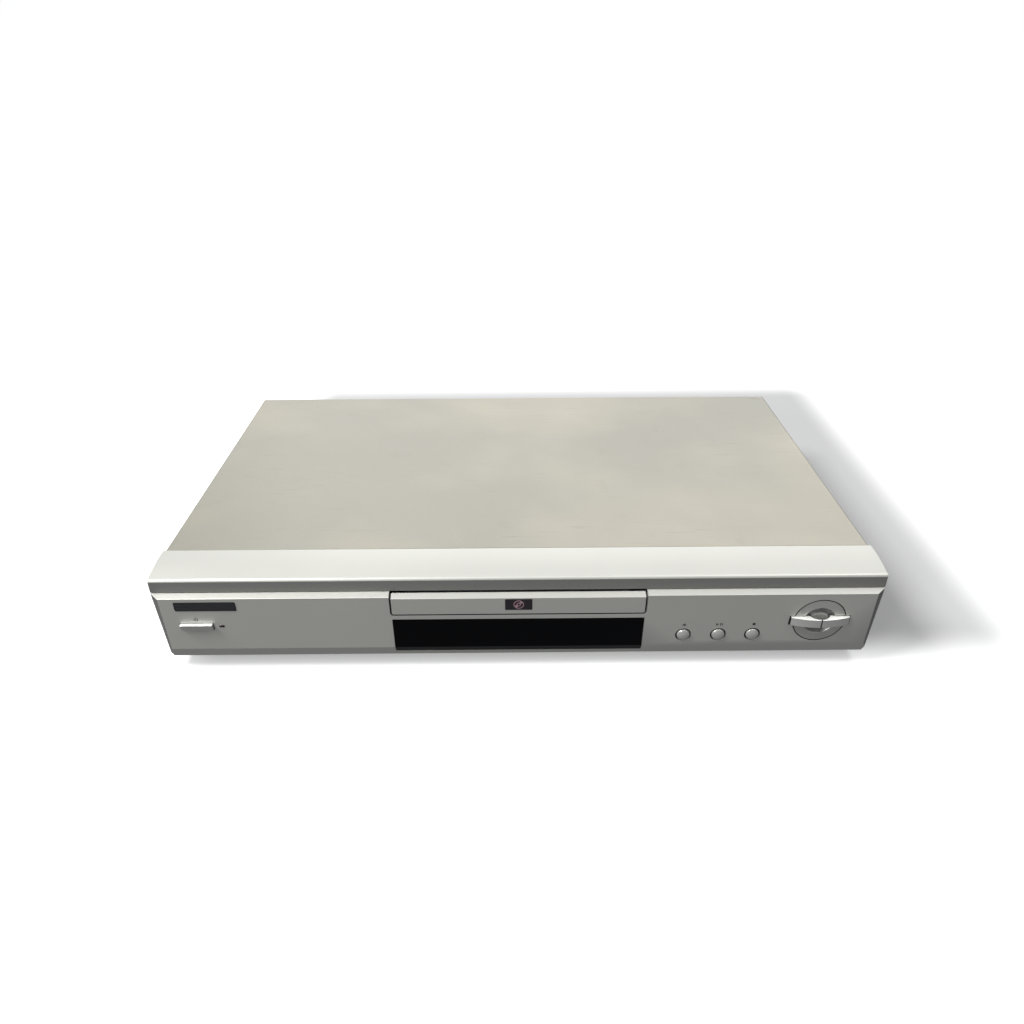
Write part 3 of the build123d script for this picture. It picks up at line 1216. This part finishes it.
def power_heat_sink():
    """Finned heat sink of the power supply."""
    left = POWER_BOARD_X[0] + HEAT_SINK_INSET
    tall = (BOARD_TOP, BOARD_TOP + HEAT_SINK_TALL)
    root = HEAT_SINK_BACK + HEAT_SINK_PLATE
    thick, deep = HEAT_SINK_FIN
    plate = block((left, left + HEAT_SINK_WIDTH), (HEAT_SINK_BACK, root), tall)
    count = int((HEAT_SINK_WIDTH - thick) / HEAT_SINK_PITCH) + 1
    starts = [left + i * HEAT_SINK_PITCH for i in range(count)]
    return together([plate] + [block((x, x + thick), (root, root + deep), tall) for x in starts])


def mains_choke():
    """Mains filter choke: a wound core on the power board."""
    x = POWER_BOARD_X[0] + CHOKE_INSET
    wide, deep, tall = CHOKE_CORE
    core = block((x - wide / 2, x + wide / 2), (CHOKE_BACK - deep / 2, CHOKE_BACK + deep / 2),
                 (BOARD_TOP, BOARD_TOP + tall))
    coil = post(x, CHOKE_BACK, CHOKE_COIL_RADIUS, (BOARD_TOP + CHOKE_FLANGE, BOARD_TOP + tall - CHOKE_FLANGE))
    return core + coil


def board_connectors():
    """Open plug headers at the inner ends of the two large boards."""
    wide, deep, tall = CONNECTOR_SIZE
    starts = (MAIN_BOARD_X[0] + CONNECTOR_INSET, POWER_BOARD_X[1] - CONNECTOR_INSET - wide)
    headers = []
    for x, depth in zip(starts, CONNECTOR_BACKS):
        shell = block((x, x + wide), (depth, depth + deep), (BOARD_TOP, BOARD_TOP + tall))
        well = block((x + CONNECTOR_WALL, x + wide - CONNECTOR_WALL),
                     (depth + CONNECTOR_WALL, depth + deep - CONNECTOR_WALL),
                     (BOARD_TOP + 2 * CONNECTOR_WALL, BOARD_TOP + tall + 1))
        headers.append(shell - well)
    return together(headers)


def processor_chips():
    """Decoder, memory and driver chips on the main board."""
    pieces = []
    for inset, depth, wide, deep, tall in CHIPS:
        x = MAIN_BOARD_X[0] + inset
        pieces.append(block((x - wide / 2, x + wide / 2), (depth - deep / 2, depth + deep / 2),
                            (BOARD_TOP, BOARD_TOP + tall)))
    return together(pieces)


def jack_block():
    """Black housing behind the phono sockets."""
    front = REAR_PANEL_FRONT - JACK_BLOCK_DEPTH
    x = (JACK_XS[0] - JACK_MARGIN, JACK_XS[-1] + JACK_MARGIN)
    body = block(x, (front, REAR_PANEL_FRONT), (BOARD_TOP, JACK_HEIGHTS[-1] + JACK_MARGIN))
    for place_x, height in jack_places():
        body += bar(place_x, height, JACK_INSULATOR, (REAR_PANEL_FRONT, REAR_PANEL_BACK + JACK_PROUD - 0.8))
        body -= bar(place_x, height, JACK_BORE, (REAR_PANEL_BACK - 4, REAR_PANEL_BACK + JACK_PROUD))
    return body


def jack_shells():
    """Metal shells of the phono sockets."""
    shells = []
    for x, height in jack_places():
        span = (REAR_PANEL_BACK, REAR_PANEL_BACK + JACK_PROUD)
        hole = bar(x, height, JACK_INSULATOR, (span[0] - 1, span[1] + 1))
        shells.append(bar(x, height, JACK_RADIUS, span) - hole)
    return together(shells)


def video_jack():
    """Round four-pole video socket."""
    half = VIDEO_JACK_SIDE / 2
    x = VIDEO_JACK_X
    front = REAR_PANEL_FRONT - JACK_BLOCK_DEPTH + 3
    body = block((x - half, x + half), (front, REAR_PANEL_FRONT), (BOARD_TOP, VIDEO_JACK_HEIGHT + half))
    body += bar(x, VIDEO_JACK_HEIGHT, VIDEO_JACK_RADIUS + 0.9, (REAR_PANEL_FRONT, REAR_PANEL_BACK + 0.6))
    return body - bar(x, VIDEO_JACK_HEIGHT, VIDEO_JACK_RADIUS, (REAR_PANEL_BACK - 7, REAR_PANEL_BACK + 1))


def mains_inlet():
    """Two-pole mains inlet with its figure-of-eight cavity."""
    half = INLET_WIDTH / 2
    tall = INLET_TALL / 2
    outer = REAR_PANEL_BACK + INLET_PROUD
    body = block((INLET_X - half, INLET_X + half), (outer - INLET_DEPTH, outer),
                 (INLET_HEIGHT - tall, INLET_HEIGHT + tall))
    legs = block((INLET_X - half + 2, INLET_X + half - 2), (outer - INLET_DEPTH, POWER_BOARD_Y[1]),
                 (BOARD_TOP, INLET_HEIGHT - tall))
    cavity = Pos(INLET_X, INLET_HEIGHT) * SlotOverall(INLET_CAVITY_WIDTH, INLET_CAVITY_TALL)
    return body + legs - along_y(cavity, (outer - INLET_CAVITY_DEPTH, outer + 1))


def mains_pins():
    """Two contact pins in the mains inlet."""
    outer = REAR_PANEL_BACK + INLET_PROUD
    return together([bar(INLET_X + side * INLET_PIN_SPACING / 2, INLET_HEIGHT, INLET_PIN_RADIUS,
                         (outer - INLET_CAVITY_DEPTH, outer - 3)) for side in (-1, 1)])


def cover_screws():
    """Screw heads that hold the cover: two a side and three at the back."""
    heads = []
    step = COVER_SIDE_SCREW_STEP
    for depth in (VENT_BACK - step, VENT_BACK + VENT_COUNT * VENT_PITCH + step):
        span = (COVER_HALF, COVER_HALF + COVER_SCREW_HEIGHT)
        heads += both_sides(pin(depth, COVER_SIDE_SCREW_HEIGHT, COVER_SCREW_HEAD, span))
    left, right = COVER_REAR_SCREW_INSETS
    for x in (left - HALF_WIDTH, 0, HALF_WIDTH - right):
        span = (REAR_PANEL_BACK, REAR_PANEL_BACK + SCREW_HEAD_HEIGHT)
        heads.append(bar(x, COVER_REAR_SCREW_HEIGHT, COVER_SCREW_HEAD, span))
    return together(heads)


def rear_screws():
    """Screw heads that hold the sockets and the rear panel to the pan."""
    places = [(x, JACK_SCREW_HEIGHT) for x in (JACK_XS[0] - JACK_SCREW_STEP, JACK_XS[-1] + JACK_SCREW_STEP)]
    outer = HALF_WIDTH - PANEL_SCREW_INSET
    places += [(x, PANEL_SCREW_HEIGHT) for x in (-outer, -PANEL_SCREW_X, PANEL_SCREW_X, outer)]
    return together([bar(x, height, SCREW_HEAD_RADIUS, (REAR_PANEL_BACK, REAR_PANEL_BACK + SCREW_HEAD_HEIGHT))
                     for x, height in places])


def front_ribbon():
    """Flat cable from the front board back to the main board."""
    start = FRONT_BOARD_FRONT + BOARD
    end = MAIN_BOARD_Y[0] + RIBBON_LAP
    high = RIBBON_HEIGHT + RIBBON_THICKNESS
    path = outline((start, RIBBON_HEIGHT), (end, RIBBON_HEIGHT), (end, BOARD_TOP),
                   (end + RIBBON_THICKNESS, BOARD_TOP), (end + RIBBON_THICKNESS, high), (start, high))
    return along_x(path, RIBBON_X)


def loader_ribbon():
    """Flat cable from the loader frame to the main board."""
    start = FRAME_HALF_WIDTH
    end = MAIN_BOARD_X[0] + RIBBON_LAP
    high = FRAME_CROSS_TOP - 3
    path = outline((start, high), (end, high), (end, BOARD_TOP), (end + RIBBON_THICKNESS, BOARD_TOP),
                   (end + RIBBON_THICKNESS, high + RIBBON_THICKNESS), (start, high + RIBBON_THICKNESS))
    return along_y(path, LOADER_RIBBON_Y)


NODES = {
    "top_cover": top_cover,
    "chassis_base": chassis_base,
    "rear_panel": rear_panel,
    "feet": feet,
    "foot_pads": foot_pads,
    "front_bezel": front_bezel,
    "display_window": display_window,
    "display_tube": display_tube,
    "standby_lens": standby_lens,
    "power_button": power_button,
    "open_close_button": lambda: round_button(BUTTON_XS[0]),
    "play_pause_button": lambda: round_button(BUTTON_XS[1]),
    "stop_button": lambda: round_button(BUTTON_XS[2]),
    "skip_dish": skip_dish,
    "skip_back_button": lambda: skip_button(-1),
    "skip_forward_button": lambda: skip_button(1),
    "front_board": front_board,
    "standby_board": standby_board,
    "tact_switches": tact_switches,
    "tray_door": tray_door,
    "disc_tray": disc_tray,
    "tray_gear": tray_gear,
    "pulley_gear": pulley_gear,
    "motor_pulley": motor_pulley,
    "drive_belt": drive_belt,
    "loading_motor": loading_motor,
    "loader_frame": loader_frame,
    "clamper_bridge": clamper_bridge,
    "clamper": clamper,
    "clamper_magnet": clamper_magnet,
    "cam_slider": cam_slider,
    "deck_frame": deck_frame,
    "spindle_motor": spindle_motor,
    "turntable": turntable,
    "pickup_sled": pickup_sled,
    "pickup_lens": pickup_lens,
    "guide_rods": guide_rods,
    "lead_screw": lead_screw,
    "sled_motor": sled_motor,
    "loader_grommets": loader_grommets,
    "loader_screws": loader_screws,
    "board_standoffs": board_standoffs,
    "board_screws": board_screws,
    "power_board": power_board,
    "transformer": transformer,
    "capacitors": capacitors,
    "power_heat_sink": power_heat_sink,
    "mains_choke": mains_choke,
    "board_connectors": board_connectors,
    "main_board": main_board,
    "processor_chips": processor_chips,
    "jack_block": jack_block,
    "jack_shells": jack_shells,
    "video_jack": video_jack,
    "mains_inlet": mains_inlet,
    "mains_pins": mains_pins,
    "cover_screws": cover_screws,
    "rear_screws": rear_screws,
    "front_ribbon": front_ribbon,
    "loader_ribbon": loader_ribbon,
}

os.makedirs("parts", exist_ok=True)
for name, make in NODES.items():
    export_step(make(), f"parts/{name}.step")
